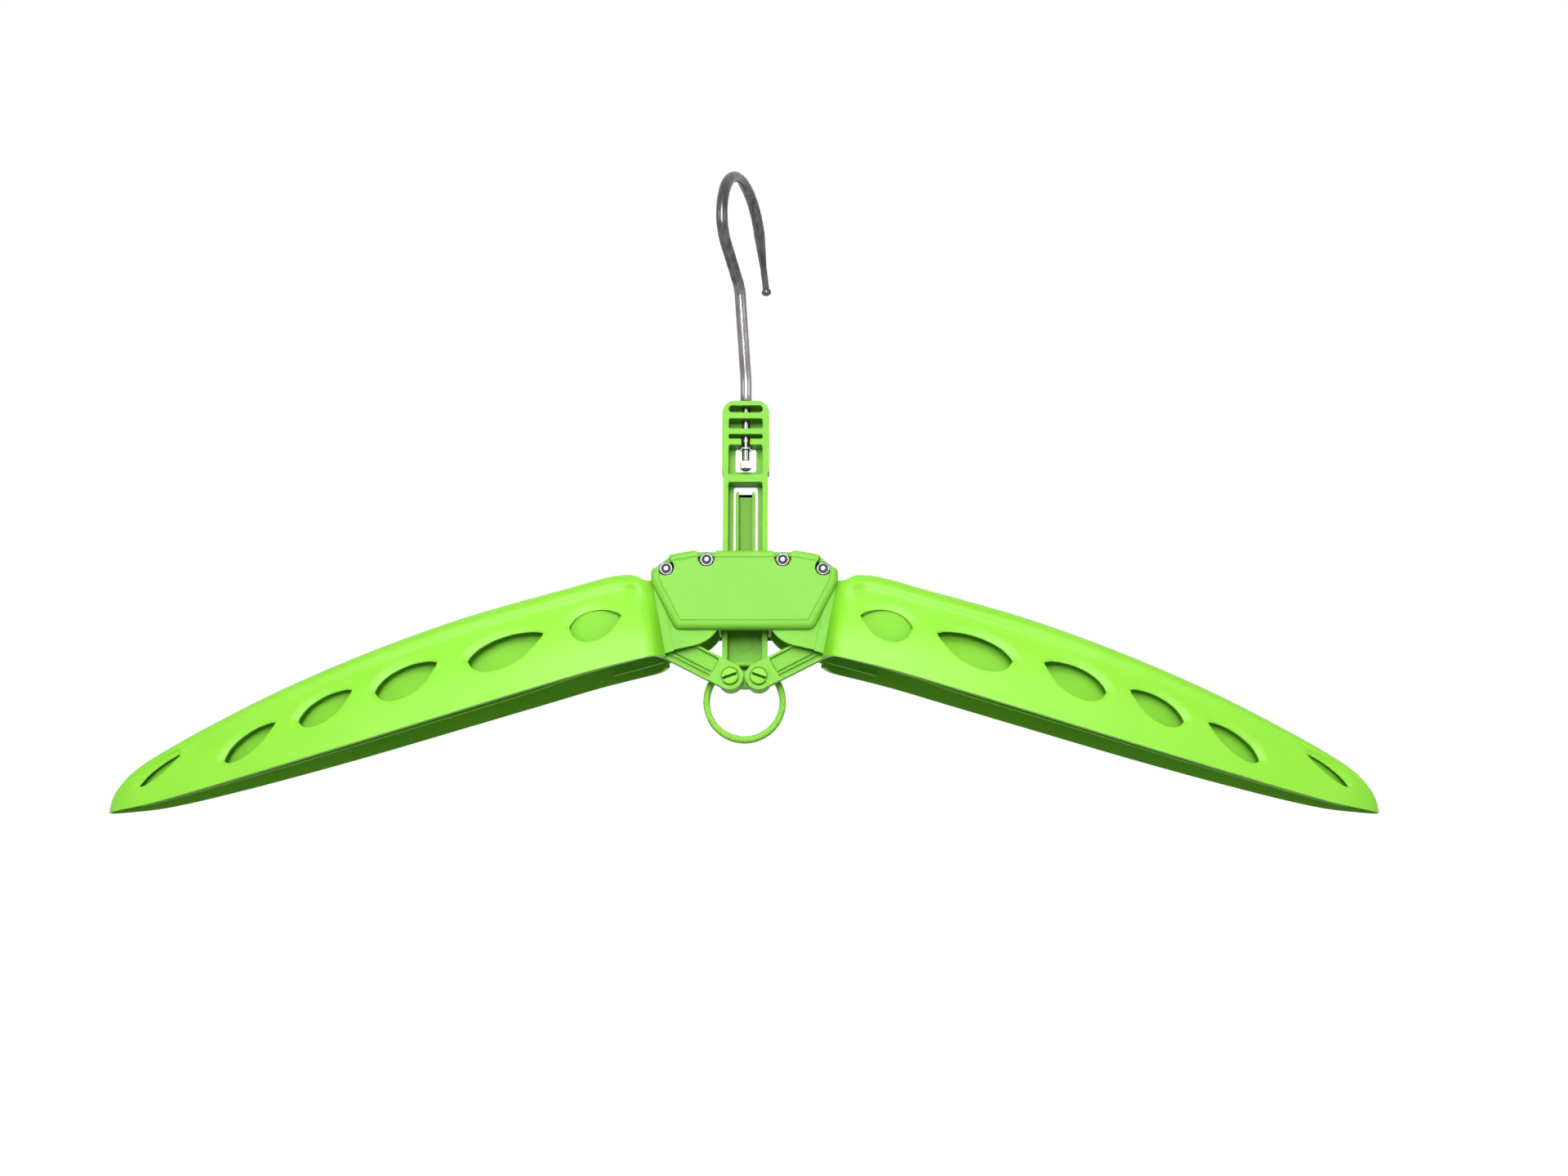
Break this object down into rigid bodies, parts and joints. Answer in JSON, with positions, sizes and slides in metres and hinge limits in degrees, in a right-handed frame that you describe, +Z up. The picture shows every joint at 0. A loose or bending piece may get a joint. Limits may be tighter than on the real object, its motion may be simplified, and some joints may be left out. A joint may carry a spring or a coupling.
{
  "type": "folding wetsuit hanger",
  "caption": "Folding wetsuit hanger: hollow vented shoulder arms pivot in a bolted housing on a sliding bar with a pull ring, under a steel swivel hook.",
  "frame": {"origin": "inside of the hook's loop, at its highest point, where it bears on a rail", "axes": "+X to the hanger's right along the arms as seen from the front, +Y from the front panel to the rear one, +Z up"},
  "size_m": [0.487, 0.0572, 0.26],
  "materials": {
    "arm_plastic": "satin moulded lime green, slightly translucent",
    "cover_plastic": "satin moulded lime green",
    "bar_plastic": "satin moulded lime green",
    "link_plastic": "satin moulded lime green",
    "pin_plastic": "satin moulded lime green",
    "rod_steel": "bright plated round steel rod",
    "fastener_steel": "bright zinc-plated steel"
  },
  "bodies": {
    "hook": {"hook": "rod_steel", "hook_washer": "fastener_steel", "hook_nut": "fastener_steel"},
    "slider": {"slider_bar": "bar_plastic", "left_link_pin": "pin_plastic", "right_link_pin": "pin_plastic"},
    "latch": {"latch_tongue": "bar_plastic"},
    "housing": {"front_cover": "cover_plastic", "rear_cover": "cover_plastic", "left_arm_axle": "pin_plastic", "right_arm_axle": "pin_plastic", "cover_bolt_1": "fastener_steel", "cover_bolt_2": "fastener_steel", "cover_bolt_3": "fastener_steel", "cover_bolt_4": "fastener_steel", "cover_nut_1": "fastener_steel", "cover_nut_2": "fastener_steel", "cover_nut_3": "fastener_steel", "cover_nut_4": "fastener_steel"},
    "left_arm": {"left_arm": "arm_plastic", "left_arm_link_pin": "fastener_steel"},
    "right_arm": {"right_arm": "arm_plastic", "right_arm_link_pin": "fastener_steel"},
    "left_link": {"left_link": "link_plastic"},
    "right_link": {"right_link": "link_plastic"}
  },
  "joints": [
    {"name": "hook_swivel", "type": "hinge", "parent": "hook", "child": "slider", "pos_m": [0, 0, -0.09094], "axis": [0, 0, 1], "continuous": true},
    {"name": "bar_slide", "type": "slide", "parent": "slider", "child": "housing", "axis": [0, 0, 1], "range_m": [0, 0.028]},
    {"name": "latch_flex", "type": "hinge", "parent": "slider", "child": "latch", "pos_m": [0, 0.0033, -0.16074], "axis": [1, 0, 0], "range_deg": [0, 3], "stiffness_Nm_per_rad": 0.2},
    {"name": "left_arm_fold", "type": "hinge", "parent": "housing", "child": "left_arm", "pos_m": [-0.022, 0, -0.17494], "axis": [0, -1, 0], "range_deg": [0, 40.2]},
    {"name": "right_arm_fold", "type": "hinge", "parent": "housing", "child": "right_arm", "pos_m": [0.022, 0, -0.17494], "axis": [0, 1, 0], "range_deg": [0, 40.2]},
    {"name": "left_link_turn", "type": "hinge", "parent": "slider", "child": "left_link", "pos_m": [-0.0055, 0, -0.20334], "axis": [0, 1, 0], "range_deg": [0, 22.2]},
    {"name": "right_link_turn", "type": "hinge", "parent": "slider", "child": "right_link", "pos_m": [0.0055, 0, -0.20334], "axis": [0, -1, 0], "range_deg": [0, 22.2]}
  ],
  "couplings": [
    {"joint": "left_arm_fold", "follows": "bar_slide", "rad_per_m": 25},
    {"joint": "right_arm_fold", "follows": "bar_slide", "rad_per_m": 25},
    {"joint": "left_link_turn", "follows": "bar_slide", "rad_per_m": 13.8},
    {"joint": "right_link_turn", "follows": "bar_slide", "rad_per_m": 13.8}
  ]
}
